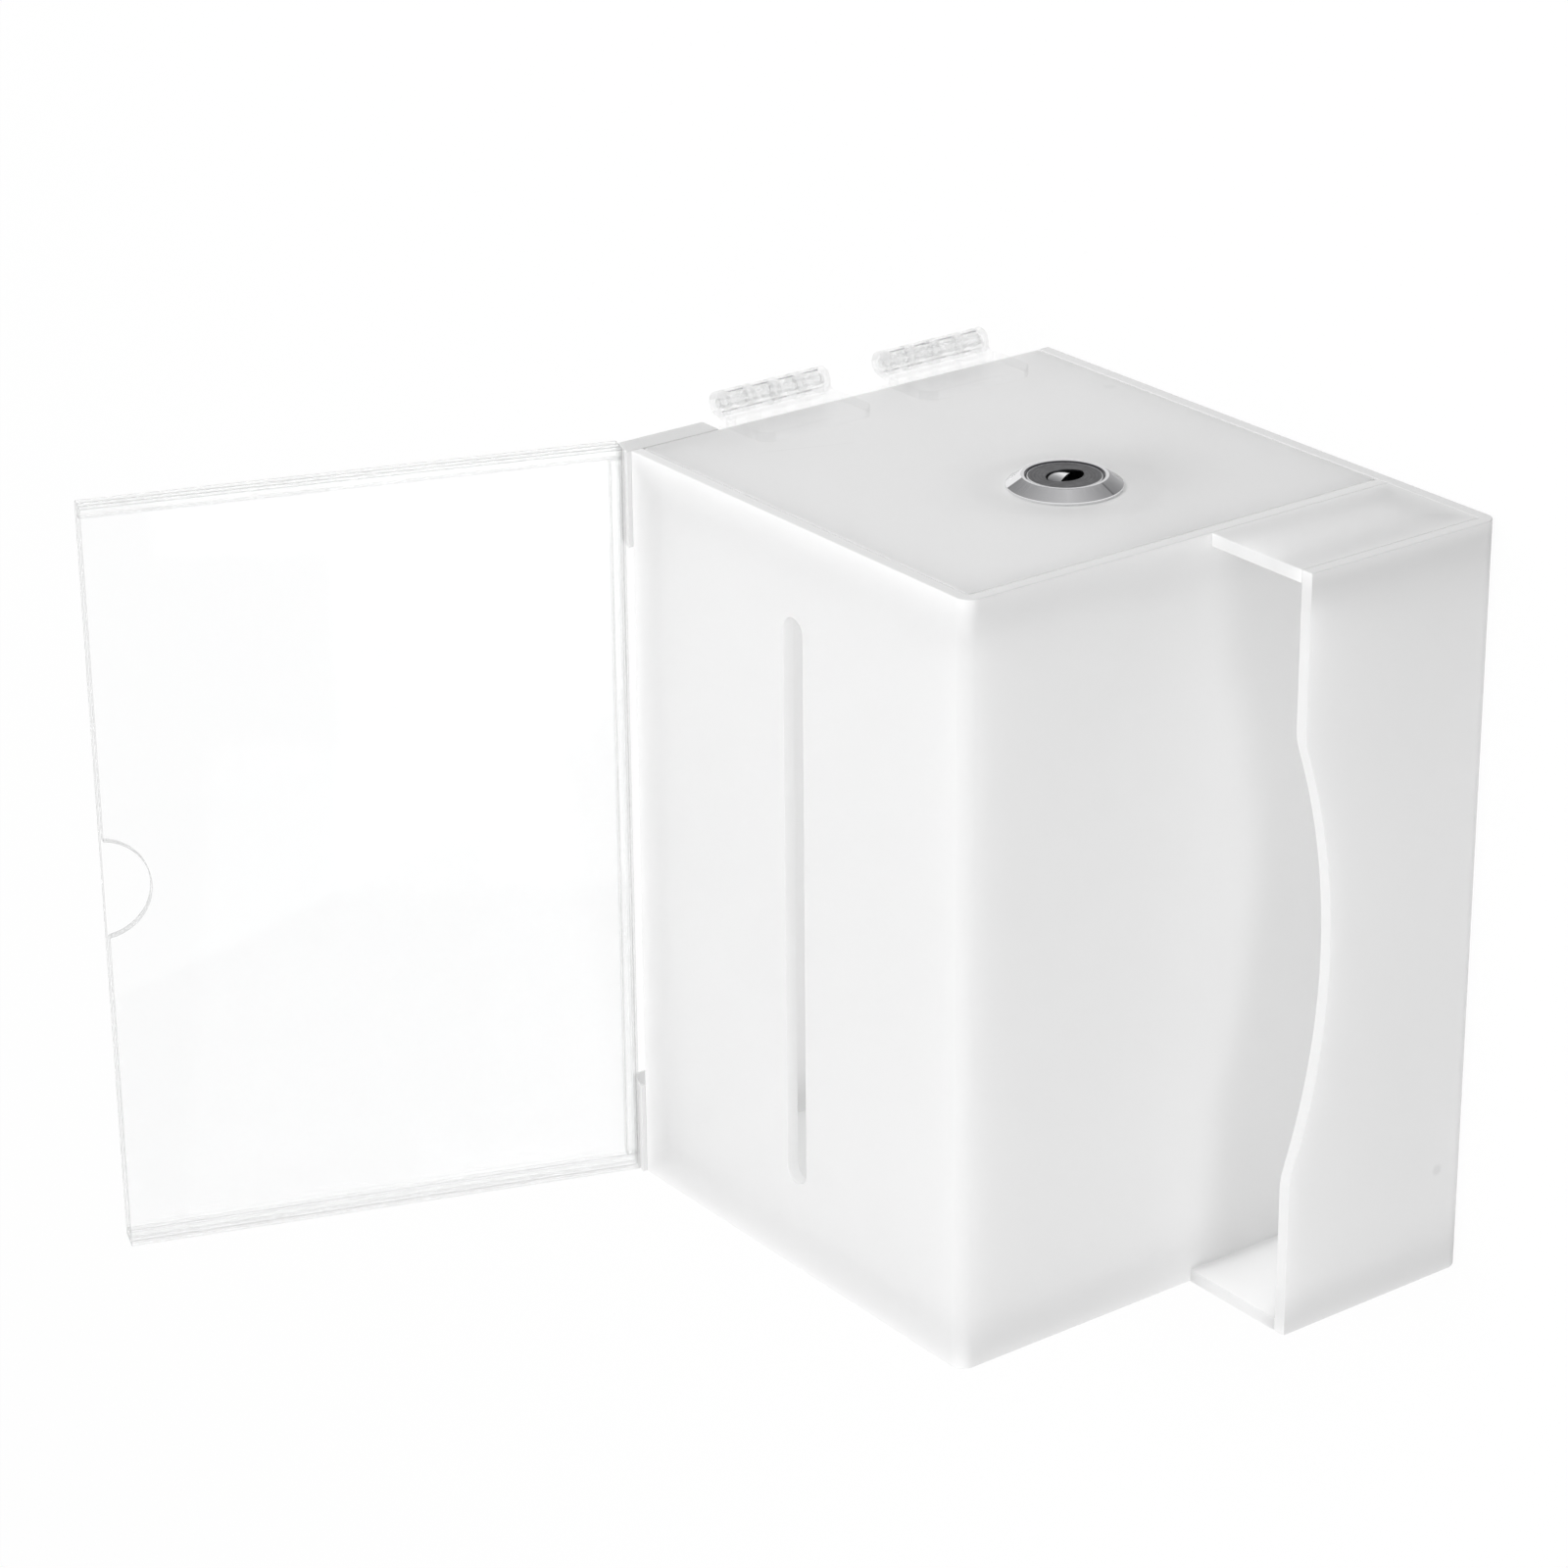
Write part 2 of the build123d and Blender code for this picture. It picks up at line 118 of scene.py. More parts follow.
class SheetSettings(bpy.types.PropertyGroup):
    """Opal and clear acrylic sheet."""

    edge_round: FloatProperty(
        name="Edge rounding", description="Radius left on a cut and polished sheet edge",
        default=0.00022, min=0, unit="LENGTH",
    )
    opal: FloatVectorProperty(
        name="Opal", description="Colour of the opal white sheet", subtype="COLOR",
        size=4, default=(0.98, 0.98, 0.98, 1), min=0, max=1,
    )
    opal_glow: FloatProperty(
        name="Opal glow", description="Share of the light that the opal sheet lets through",
        default=0.53, min=0, max=1, subtype="FACTOR",
    )
    # Pocket sheet's colour: set darker than the other sheets as painted shade, for the weaker light
    # on the pocket
    pocket_opal_shaded: FloatVectorProperty(
        name="Pocket opal", description="Colour of the bent pocket sheet, a slightly denser opal",
        subtype="COLOR", size=4, default=(0.955, 0.955, 0.955, 1), min=0, max=1,
    )
    pocket_glow: FloatProperty(
        name="Pocket glow", description="Share of the light let through by the bent pocket sheet",
        default=0.62, min=0, max=1, subtype="FACTOR",
    )
    cheek_glow: FloatProperty(
        name="Cheek glow", description="Share of the light let through by the pocket's left cheek",
        default=0.68, min=0, max=1, subtype="FACTOR",
    )
    ear_glow: FloatProperty(
        name="Ear glow", description="Share of the light that the thick ears let through",
        default=0.2, min=0, max=1, subtype="FACTOR",
    )
    nut_radius: FloatProperty(
        name="Nut radius", description="Radius round the lock within which the door does not glow",
        default=0.012, min=0, unit="LENGTH",
    )
    joint_reach: FloatProperty(
        name="Joint reach", description="Width of the strip beside a joint that glows less",
        default=0.008, min=0.0001, unit="LENGTH",
    )
    seam: FloatProperty(
        name="Seam", description="Half of the glue seam between two clear pieces",
        default=0.00002, min=0, unit="LENGTH",
    )
    clear: FloatVectorProperty(
        name="Clear", description="Tint of the clear sheet", subtype="COLOR",
        size=4, default=(0.985, 0.99, 0.99, 1), min=0, max=1,
    )
    # The cut edges' grey is partly the sheet's own tint and partly painted shade; the outlines are
    # painted shade for light bent at the edges
    clear_edge_tint_and_shade: FloatVectorProperty(
        name="Clear edge", description="Tint of the clear sheet's cut edges", subtype="COLOR",
        size=4, default=(0.42, 0.43, 0.43, 1), min=0, max=1,
    )
    outline: FloatProperty(
        name="Outline", description="Strength of the fine lines along the clear sheet's edges",
        default=0.34, min=0, max=1, subtype="FACTOR",
    )
    cut_edge: FloatProperty(
        name="Cut edge", description="Share of grey in the clear sheet's cut edges",
        default=0.03, min=0, max=1, subtype="FACTOR",
    )
    mark: FloatVectorProperty(
        name="Mark", description="Colour of the small dots and hairlines on the opal sheet",
        subtype="COLOR", size=4, default=(0.42, 0.42, 0.42, 1), min=0, max=1,
    )


class HingeSettings(bpy.types.PropertyGroup):
    """Clear moulded hinges."""

    edge_round: FloatProperty(
        name="Edge rounding", description="Radius on the moulded edges",
        default=0.00012, min=0, unit="LENGTH",
    )
    seam: FloatProperty(
        name="Seam", description="Glue seam between a leaf and its sheet",
        default=0.00002, min=0, unit="LENGTH",
    )
    plastic: FloatVectorProperty(
        name="Hinge plastic", description="Tint of the clear moulding", subtype="COLOR",
        size=4, default=(0.95, 0.955, 0.96, 1), min=0, max=1,
    )
    # Painted shade: grey of the lines that stand in for light bent at the clear moulding's edges
    line: FloatVectorProperty(
        name="Line", description="Grey of the lines that the moulding shows at its edges",
        subtype="COLOR", size=4, default=(0.30, 0.30, 0.31, 1), min=0, max=1,
    )
    body: FloatProperty(
        name="Body", description="Share of light that the clear moulding bends",
        default=0.2, min=0, max=1, subtype="FACTOR",
    )
    leaf_body: FloatProperty(
        name="Leaf body", description="Share of light that the flat leaves bend",
        default=0.05, min=0, max=1, subtype="FACTOR",
    )
    barrel: FloatProperty(
        name="Barrel", description="Distance from the pin within which the barrel lies",
        default=0.0028, min=0, unit="LENGTH",
    )
    # The veil, knuckle lines, ridge and leaf lines below are shares of painted shade
    painted_veil: FloatProperty(
        name="Veil", description="Share of grey in the barrel's wall",
        default=0.02, min=0, max=1, subtype="FACTOR",
    )
    knuckle_painted_line: FloatProperty(
        name="Knuckle lines", description="Strength of the lines round the knuckles",
        default=0.15, min=0, max=1, subtype="FACTOR",
    )
    painted_ridge_shade: FloatProperty(
        name="Ridge", description="Strength of the dark line along the wide knuckles",
        default=0.6, min=0, max=1, subtype="FACTOR",
    )
    leaf_painted_line: FloatProperty(
        name="Leaf lines", description="Strength of the lines along the leaves' edges",
        default=0.06, min=0, max=1, subtype="FACTOR",
    )


class LockSettings(bpy.types.PropertyGroup):
    """Chromed cam lock with its plug, nut, cam and screw."""

    edge_round: FloatProperty(
        name="Edge rounding", description="Radius on the lock's turned edges",
        default=0.00010, min=0, unit="LENGTH",
    )
    chrome: FloatVectorProperty(
        name="Chrome", description="Colour of the chromed flange", subtype="COLOR",
        size=4, default=(0.80, 0.80, 0.81, 1), min=0, max=1,
    )
    # Dark of the painted reflections on the chrome and the shutter, and of the painted shade on the
    # lock's inner bevel
    chrome_painted_dark: FloatVectorProperty(
        name="Chrome dark", description="Darker rays in the chrome's polish", subtype="COLOR",
        size=4, default=(0.05, 0.05, 0.055, 1), min=0, max=1,
    )
    # Painted reflection tone of the flat rim, also used as the painted highlight on the plug's edge
    rim: FloatVectorProperty(
        name="Rim", description="Colour of the flat rim round the plug", subtype="COLOR",
        size=4, default=(0.62, 0.62, 0.63, 1), min=0, max=1,
    )
    # Painted shade: the black inside the key mouth stands in for the shade in its recess
    mouth: FloatVectorProperty(
        name="Mouth", description="Colour inside the key mouth", subtype="COLOR",
        size=4, default=(0.012, 0.012, 0.012, 1), min=0, max=1,
    )
    plug: FloatVectorProperty(
        name="Plug", description="Colour of the plug's face", subtype="COLOR",
        size=4, default=(0.07, 0.07, 0.075, 1), min=0, max=1,
    )
    steel: FloatVectorProperty(
        name="Zinc plate", description="Colour of the nut, cam, screw and shutter",
        subtype="COLOR", size=4, default=(0.68, 0.68, 0.67, 1), min=0, max=1,
    )


class StageSettings(bpy.types.PropertyGroup):
    """Floor, light and camera."""

    floor_size: FloatProperty(
        name="Floor", description="Side of the floor", default=12.0, unit="LENGTH",
    )
    floor_drop: FloatProperty(
        name="Floor drop", description="How far the floor lies under the box",
        default=0.0002, unit="LENGTH",
    )
    white: FloatVectorProperty(
        name="White", description="Colour of the floor and background", subtype="COLOR",
        size=4, default=(1, 1, 1, 1), min=0, max=1,
    )
    floor_matt: FloatVectorProperty(
        name="Floor matt", description="Colour of the floor as it lights the box",
        subtype="COLOR", size=4, default=(0.35, 0.35, 0.35, 1), min=0, max=1,
    )
    floor_glow: FloatProperty(
        name="Floor glow", description="Share of plain white in the floor as it is seen",
        default=0.96, min=0, max=1, subtype="FACTOR",
    )
    ambient: FloatProperty(
        name="Ambient", description="Strength of the light from all round", default=0.55, min=0,
    )
    key_power: FloatProperty(
        name="Key light", description="Power of the soft light above", default=10.2, min=0,
        unit="POWER",
    )
    front_power: FloatProperty(
        name="Front light", description="Power of the low light in front", default=1.32, min=0,
        unit="POWER",
    )
    fill_power: FloatProperty(
        name="Fill light", description="Power of the light thrown back from the far side",
        default=0.5, min=0, unit="POWER",
    )
    side_power: FloatProperty(
        name="Side light", description="Power of the soft light beside the door",
        default=0.75, min=0, unit="POWER",
    )
    camera_place: FloatVectorProperty(
        name="Camera", description="Place of the camera", subtype="TRANSLATION",
        default=(0.3844, -0.66703, 0.6032), unit="LENGTH",
    )
    camera_aim: FloatVectorProperty(
        name="Aim", description="Point in the middle of the picture", subtype="TRANSLATION",
        default=(0.010606, 0.029964, 0.085394), unit="LENGTH",
    )
    camera_roll: FloatProperty(
        name="Roll", description="Turn of the camera about its line of sight",
        default=radians(-106.9004), subtype="ANGLE",
    )
    camera_lens: FloatProperty(
        name="Lens", description="Focal length in millimetres on a 36 mm sensor",
        default=108.98, min=1,
    )


class BallotBoxSettings(bpy.types.PropertyGroup):
    """Everything that can be set on the ballot box."""

    sheet: PointerProperty(type=SheetSettings)
    hinge: PointerProperty(type=HingeSettings)
    lock: PointerProperty(type=LockSettings)
    stage: PointerProperty(type=StageSettings)


class Value:
    """A shader socket that can be used in arithmetic, which adds Math nodes."""

    def __init__(self, finish, socket):
        self.finish = finish
        self.socket = socket

    def math(self, operation, *terms):
        settings = {"operation": operation}
        node = self.finish.node("ShaderNodeMath", settings, dict(enumerate(terms)))
        return Value(self.finish, node.outputs[0])

    def __add__(self, other):
        return self.math("ADD", self, other)

    def __radd__(self, other):
        return self.math("ADD", other, self)

    def __sub__(self, other):
        return self.math("SUBTRACT", self, other)

    def __rsub__(self, other):
        return self.math("SUBTRACT", other, self)

    def __mul__(self, other):
        return self.math("MULTIPLY", self, other)

    def __rmul__(self, other):
        return self.math("MULTIPLY", other, self)

    def __truediv__(self, other):
        return self.math("DIVIDE", self, other)

    def __rtruediv__(self, other):
        return self.math("DIVIDE", other, self)

    def above(self, limit):
        return self.math("GREATER_THAN", self, limit)

    def below(self, limit):
        return self.math("LESS_THAN", self, limit)

    def size(self):
        return self.math("ABSOLUTE", self)

    def highest(self, other):
        return self.math("MAXIMUM", self, other)

    def lowest(self, other):
        return self.math("MINIMUM", self, other)

    def sine(self):
        return self.math("SINE", self)

    def held(self):
        return self.highest(0.0).lowest(1.0)

    def root(self):
        return self.math("POWER", self, 0.5)


class Finish:
    """Node tree of one material or of the world."""

    def __init__(self, owner):
        owner.use_nodes = True
        self.owner = owner
        self.tree = owner.node_tree
        self.tree.nodes.clear()

    def node(self, kind, settings=None, sockets=None):
        node = self.tree.nodes.new(kind)
        for name, setting in (settings or {}).items():
            if name == "stops":
                self.set_stops(node.color_ramp, setting)
            else:
                setattr(node, name, setting)
        for name, value in (sockets or {}).items():
            self.feed(node.inputs[name], value)
        return node

    def feed(self, socket, value):
        if isinstance(value, Value):
            self.tree.links.new(value.socket, socket)
        elif isinstance(value, bpy.types.NodeSocket):
            self.tree.links.new(value, socket)
        else:
            socket.default_value = value

    def set_stops(self, ramp, stops):
        while len(ramp.elements) < len(stops):
            ramp.elements.new(1)
        for element, (position, shade) in zip(ramp.elements, stops):
            element.position = position
            element.color = (shade, shade, shade, 1)

    def value(self, node, output=0):
        return Value(self, node.outputs[output])

    def place(self):
        return self.node("ShaderNodeTexCoord").outputs["Object"]

    def axes(self, vector):
        split = self.node("ShaderNodeSeparateXYZ", sockets={"Vector": vector})
        return [self.value(split, axis) for axis in "XYZ"]

    def vector(self, operation, *terms):
        node = self.node("ShaderNodeVectorMath", {"operation": operation}, dict(enumerate(terms)))
        return node

    def noise(self, scale, detail=2.0, roughness=0.5, vector=None):
        sockets = {
            "Vector": vector or self.place(),
            "Scale": scale, "Detail": detail, "Roughness": roughness,
        }
        return self.value(self.node("ShaderNodeTexNoise", sockets=sockets))

    def ramp(self, factor, *stops):
        node = self.node("ShaderNodeValToRGB", {"stops": stops}, {"Fac": factor})
        return self.value(node)

    def mix(self, factor, first, second):
        settings = {"data_type": "RGBA"}
        sockets = {"Factor": factor, 6: first, 7: second}
        return self.node("ShaderNodeMix", settings, sockets).outputs[2]

    def shaded(self, colour, shade):
        settings = {"data_type": "RGBA", "blend_type": "MULTIPLY"}
        return self.node("ShaderNodeMix", settings, {"Factor": 1.0, 6: colour, 7: shade}).outputs[2]

    def facing(self, direction):
        """1 where the surface faces along a direction or against it, 0 where it lies edge-on."""
        normal = self.node("ShaderNodeTexCoord").outputs["Normal"]
        return self.value(self.vector("DOT_PRODUCT", normal, direction), "Value").size()

    def rounded(self, directions):
        """1 on a rounded edge, where the surface faces none of some directions, and 0 elsewhere."""
        nearest = None
        for direction in directions:
            facing = self.facing(direction)
            nearest = facing if nearest is None else nearest.highest(facing)
        return nearest.below(ROUNDED)

    def bump(self, height, strength, distance):
        sockets = {"Height": height, "Strength": strength, "Distance": distance}
        return self.node("ShaderNodeBump", sockets=sockets).outputs["Normal"]

    def surface(self, sockets):
        return self.node("ShaderNodeBsdfPrincipled", sockets=sockets)

    def principled(self, sockets):
        self.output(self.surface(sockets).outputs["BSDF"])
        return self.owner

    def layered(self, share, first, second):
        sockets = {0: share, 1: first.outputs[0], 2: second.outputs[0]}
        self.output(self.node("ShaderNodeMixShader", sockets=sockets).outputs[0])
        return self.owner

    def output(self, shader, kind="ShaderNodeOutputMaterial"):
        self.node(kind, sockets={"Surface": shader})


def new_finish(name):
    return Finish(bpy.data.materials.new(name))


def near_point(finish, place, centre, radius):
    """1 in the middle of a small round dot on the surface, 0 outside it, and soft between."""
    distance = finish.value(finish.vector("DISTANCE", place, centre), "Value")
    return ((radius - distance) / (radius / 2)).held()


def near_line(finish, place, start, end, width):
    """1 on a straight hairline between two points."""
    line = end - start
    offset = finish.vector("SUBTRACT", place, start).outputs[0]
    along = finish.value(finish.vector("DOT_PRODUCT", offset, line / line.length_squared), "Value")
    scaled = finish.node(
        "ShaderNodeVectorMath", {"operation": "SCALE"}, {0: line, "Scale": along.held()}
    ).outputs[0]
    distance = finish.value(finish.vector("DISTANCE", offset, scaled), "Value")
    return distance.below(width)


def away_from_joints(finish, place, node, joints, reach):
    """0 on a sheet's glued ends, which have another sheet behind them, and 1 beyond a reach."""
    low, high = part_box(node)
    ends = {"-": low, "+": high}
    share = None
    for axis, end in joints:
        index = "XYZ".index(axis)
        distance = (finish.axes(place)[index] - ends[end][index]).size() / reach
        share = distance if share is None else share.lowest(distance)
    return share.held()


def opal_finish(settings, node, opal, glow, joints=(), dots=(), hairlines=(), nut=None):
    """Glossy opal sheet: faint cloudiness, wipe marks in the gloss, and light let through.

    The sheet glows less near its glued joints and near a nut clamped behind it.
    """
    finish = new_finish(f"opal_{node}")
    place = finish.place()
    cloud = finish.noise(9.0, 3.0, 0.55, place)
    wipes = finish.noise(26.0, 5.0, 0.6, place)
    grain = finish.noise(900.0, 2.0, 0.5, place)
    shade = finish.ramp(cloud, (0.25, 0.965), (0.75, 1.0))
    colour = finish.shaded(opal, shade)
    mask = None
    for centre, radius, depth in dots:
        dot = near_point(finish, place, centre, radius) * depth
        mask = dot if mask is None else mask.highest(dot)
    for start, end, width in hairlines:
        line = near_line(finish, place, start, end, width) * HAIRLINE_DEPTH
        mask = line if mask is None else mask.highest(line)
    if mask is not None:
        colour = finish.mix(mask, colour, settings.mark)
    gloss = finish.surface({
        "Base Color": colour,
        "Roughness": 0.17 + wipes * 0.10,
        "IOR": 1.49,
        "Normal": finish.bump(grain, 0.03, 0.0002),
    })
    through = finish.node("ShaderNodeBsdfTranslucent", sockets={"Color": opal})
    if joints:
        glow = away_from_joints(finish, place, node, joints, settings.joint_reach) * glow
    if nut is not None:
        distance = finish.value(finish.vector("DISTANCE", place, nut), "Value")
        glow = ((distance - settings.nut_radius) / settings.joint_reach).held() * glow
    return finish.layered(glow, gloss, through)


def clear_finish(settings, sheet_normal):
    """Clear cast sheet with faint wipe marks, cut edges greyer partly by their own tint and partly
    as painted shade, and fine grey outlines of painted shade.
    """
    finish = new_finish("clear_acrylic")
    wipes = finish.noise(30.0, 4.0, 0.6)
    tint = finish.ramp(finish.noise(7.0), (0.3, 0.985), (0.7, 1.0))
    clear = finish.surface({
        "Base Color": finish.shaded(settings.clear, tint),
        "Roughness": 0.01 + wipes * 0.03,
        "IOR": 1.49,
        "Transmission Weight": 1.0,
        "Alpha": 0.3,
    })
    shade = finish.ramp(finish.noise(55.0), (0.3, 0.9), (0.7, 1.0))
    rim = finish.surface({
        "Base Color": finish.shaded(settings.clear_edge_tint_and_shade, shade),
        "Roughness": 0.2 + wipes * 0.1,
    })
    across = Vector((1, 0, 0))
    # Painted shade along the rounded edges, and grey on the cut edges that is partly own tint and
    # partly painted shade
    outline = finish.rounded((sheet_normal, across, sheet_normal.cross(across)))
    cut_edge = finish.facing(sheet_normal).below(0.7)
    share = (outline * settings.outline).highest(cut_edge * settings.cut_edge)
    return finish.layered(share, clear, rim)


def clear_block_finish(settings):
    """Clear block, so thin in tint that it does not darken the sheet in front of it."""
    finish = new_finish("clear_block")
    tint = finish.ramp(finish.noise(60.0), (0.3, 0.97), (0.7, 1.0))
    return finish.principled({
        "Base Color": finish.shaded(settings.clear, tint),
        "Roughness": 0.02 + finish.noise(30.0, 4.0, 0.6) * 0.03,
        "IOR": 1.49,
        "Transmission Weight": 1.0,
        "Alpha": 0.25,
    })


def hinge_finish(settings, name, axis, wide):
    """Clear moulding with painted shade: a greyer barrel, painted dark lines round its knuckles and
    along the wide knuckles, and faint painted lines on the leaf edges.
    """
    finish = new_finish(name)
    place = finish.place()
    flow = finish.noise(240.0, 2.0, 0.5, place)
    tint = finish.ramp(finish.noise(160.0, vector=place), (0.3, 0.93), (0.7, 1.0))
    x, y, _ = finish.axes(finish.vector("SUBTRACT", place, axis).outputs[0])
    radius = (x * x + y * y).root()
    barrel = radius.below(settings.barrel)
    clear = finish.surface({
        "Base Color": finish.shaded(settings.plastic, tint),
        "Roughness": 0.05 + flow * 0.05,
        "IOR": 1.5,
        "Transmission Weight": 1.0,
        "Alpha": settings.leaf_body + barrel * (settings.body - settings.leaf_body),
        "Normal": finish.bump(flow, 0.08, 0.0003),
    })
    upright = finish.facing(Vector((0, 0, 1)))
    knuckle_end = upright.above(0.2) * upright.below(ROUNDED)
    leaf_edge = finish.rounded((Vector((1, 0, 0)), Vector((0, 1, 0)), Vector((0, 0, 1))))
    normal = finish.node("ShaderNodeTexCoord").outputs["Normal"]
    # Painted shade lines on the barrel and along the leaf edges
    painted_ridge_shade = finish.value(finish.vector("DOT_PRODUCT", normal, RIDGE), "Value").above(RIDGE_CLOSE)
    outside = radius.above(settings.barrel * 0.7)
    ends = knuckle_end * settings.knuckle_painted_line
    line = painted_ridge_shade * outside * wide * settings.painted_ridge_shade
    on_barrel = barrel * ends.highest(line).highest(settings.painted_veil)
    on_leaf = (1 - barrel) * leaf_edge * settings.leaf_painted_line
    rim = finish.surface({
        "Base Color": finish.shaded(settings.line, tint),
        "Roughness": 0.2 + flow * 0.1,
    })
    return finish.layered(on_barrel.highest(on_leaf), clear, rim)


def around_lock(finish, centre):
    """Share of a turn round the lock's axis, from the back over the top, and the radius."""
    offset = finish.vector("SUBTRACT", finish.place(), centre).outputs[0]
    _, across, up = finish.axes(offset)
    half_turn = up.math("ARCTAN2", 0 - up, 0 - across)
    radius = (across * across + up * up).root()
    return half_turn / tau + 0.5, radius


def chrome_finish(settings, centre):
    """Chrome with painted reflections: bright and dark rays painted round the cone, a painted
    highlight on the foot, a painted grey reflection tone on the flat rim and painted shade on the
    inner bevel.
    """
    finish = new_finish("lock_chrome")
    turn, radius = around_lock(finish, centre)
    fine = finish.noise(1400.0, 1.0, 0.5)
    # Painted reflections round the cone, a painted highlight beyond the foot radius, the rim's
    # painted reflection tone and painted shade on the inner bevel
    cone = finish.mix(finish.ramp(turn, *CHROME_PAINTED_REFLECTIONS), settings.chrome_painted_dark, settings.chrome)
    foot_painted_highlight = finish.mix(radius.above(FOOT_RADIUS), cone, settings.chrome)
    rim_painted_tone = finish.mix(radius.below(RIM_OUTER), foot_painted_highlight, settings.rim)
    colour = finish.mix(radius.below(RIM_INNER), rim_painted_tone, settings.chrome_painted_dark)
    return finish.principled({
        "Base Color": colour,
        "Metallic": 1.0,
        "Roughness": 0.10 + fine * 0.08,
    })


def plug_finish(settings, centre, face):
    """Dark satin face with fine turned rings, a painted highlight on its edge and painted black
    shade in the key mouth.
    """
    finish = new_finish("lock_plug_face")
    _, radius = around_lock(finish, centre)
    rings = (radius * RINGS).sine()
    speck = finish.ramp(finish.noise(700.0, 3.0, 0.6), (0.45, 0.75), (0.7, 1.25))
    # Painted highlight on the plug's edge, then painted black shade in the key mouth
    edge_painted_highlight = finish.mix(radius.above(PLUG_EDGE), finish.shaded(settings.plug, speck), settings.rim)
    depth, _, _ = finish.axes(finish.place())
    colour = finish.mix(depth.below(face - MOUTH_SHADE_DEPTH), edge_painted_highlight, settings.mouth)
    return finish.principled({
        "Base Color": colour,
        "Metallic": 1.0,
        "Roughness": 0.38 + rings * 0.04,
        "Normal": finish.bump(rings, 0.1, 0.00002),
    })


def shutter_finish(settings, centre):
    """Polished flap with painted reflections, light and dark along its length."""
    finish = new_finish("lock_shutter")
    mottle = finish.noise(600.0, 3.0, 0.6)
    _, _, up = finish.axes(finish.vector("SUBTRACT", finish.place(), centre).outputs[0])
    along = 0.5 - up / SHUTTER_LENGTH
    # Painted reflections, light and dark along the flap
    glow = finish.ramp(along, *SHUTTER_PAINTED_REFLECTIONS)
    return finish.principled({
        "Base Color": finish.mix(glow, settings.chrome_painted_dark, settings.chrome),
        "Metallic": 1.0,
        "Roughness": 0.14 + mottle * 0.1,
    })


def steel_finish(settings):
    """Zinc plate with a faint mottle."""
    finish = new_finish("lock_steel")
    mottle = finish.noise(420.0, 3.0, 0.6)
    shade = finish.ramp(mottle, (0.3, 0.86), (0.7, 1.0))
    return finish.principled({
        "Base Color": finish.shaded(settings.steel, shade),
        "Metallic": 1.0,
        "Roughness": 0.24 + mottle * 0.14,
    })


def softened_copy(node, edge_round, seam):
    """The node's solid as one welded mesh, its sharp edges rounded, drawn in by a glue seam."""
    shape = bmesh.new()
    shape.from_mesh(NODES[node].data)
    bmesh.ops.remove_doubles(shape, verts=shape.verts, dist=WELD)
    bmesh.ops.dissolve_limit(
        shape, angle_limit=FLAT_ANGLE, verts=shape.verts, edges=shape.edges
    )
    sharp = [e for e in shape.edges if e.is_manifold and e.calc_face_angle() > SHARP_ANGLE]
    bmesh.ops.bevel(
        shape, geom=sharp, offset=edge_round, affect="EDGES", segments=2,
        profile=0.5, material=-1, clamp_overlap=True,
    )
    shape.normal_update()
    drawn_in = [v.co - v.normal * seam * v.calc_shell_factor() for v in shape.verts]
    for vertex, place in zip(shape.verts, drawn_in):
        vertex.co = place
    for face in shape.faces:
        face.smooth = True
    mesh = bpy.data.meshes.new(f"{node}_dressed")
    shape.to_mesh(mesh)
    shape.free()
    piece = bpy.data.objects.new(f"{node}_dressed", mesh)
    bpy.context.scene.collection.objects.link(piece)
    weighted = piece.modifiers.new("Weighted normals", "WEIGHTED_NORMAL")
    weighted.keep_sharp = True
    return piece


def dress(node, material, edge_round, seam=0.0):
    """Puts a softened copy with its own finish in the place of a node."""
    piece = softened_copy(node, edge_round, seam)
    piece.data.materials.clear()
    piece.data.materials.append(material)
    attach(piece, BODY_OF[node])
    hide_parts(node)
    return piece


def middle(node):
    """Middle of a node's box."""
    low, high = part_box(node)
    return (low + high) / 2


class BALLOT_OT_opal_sheets(bpy.types.Operator):
    """Bent and flat opal sheets of the box, its pocket, its door and the ears"""

    bl_idname = "ballot.opal_sheets"
    bl_label = "Opal sheets"

    def execute(self, context):
        settings = context.scene.ballot_box.sheet
        _, door_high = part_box("door_panel")
        door_dot = (Vector((door_high.x, 0.0241, 0.0069)), 0.0016, 0.18)
        hairline = (
            Vector((door_high.x, 0.0357, 0.0863)), Vector((door_high.x, 0.0291, 0.0686)), 0.00012
        )
        pocket_low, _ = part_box("base_pocket_shell")
        pocket_dot = (Vector((-0.0555, pocket_low.y, 0.0076)), 0.0014, 0.4)
        marks = {
            "door_panel": {
                "dots": [door_dot], "hairlines": [hairline], "nut": middle("lock_housing"),
            },
            "base_pocket_shell": {"dots": [pocket_dot]},
        }
        usual = (settings.opal, settings.opal_glow)
        sheets = {
            # The pocket sheet takes its darker colour of painted shade
            "base_pocket_shell": (settings.pocket_opal_shaded, settings.pocket_glow),
            "pocket_cheek_left": (settings.opal, settings.cheek_glow),
            "holder_ear_left": (settings.opal, settings.ear_glow),
            "holder_ear_right": (settings.opal, settings.ear_glow),
        }
        for node, slot in SLOT_OF.items():
            if slot == "opal_acrylic":
                opal, glow = sheets.get(node, usual)
                joints = JOINTS.get(node, ())
                finish = opal_finish(settings, node, opal, glow, joints, **marks.get(node, {}))
                dress(node, finish, settings.edge_round)
        return {"FINISHED"}


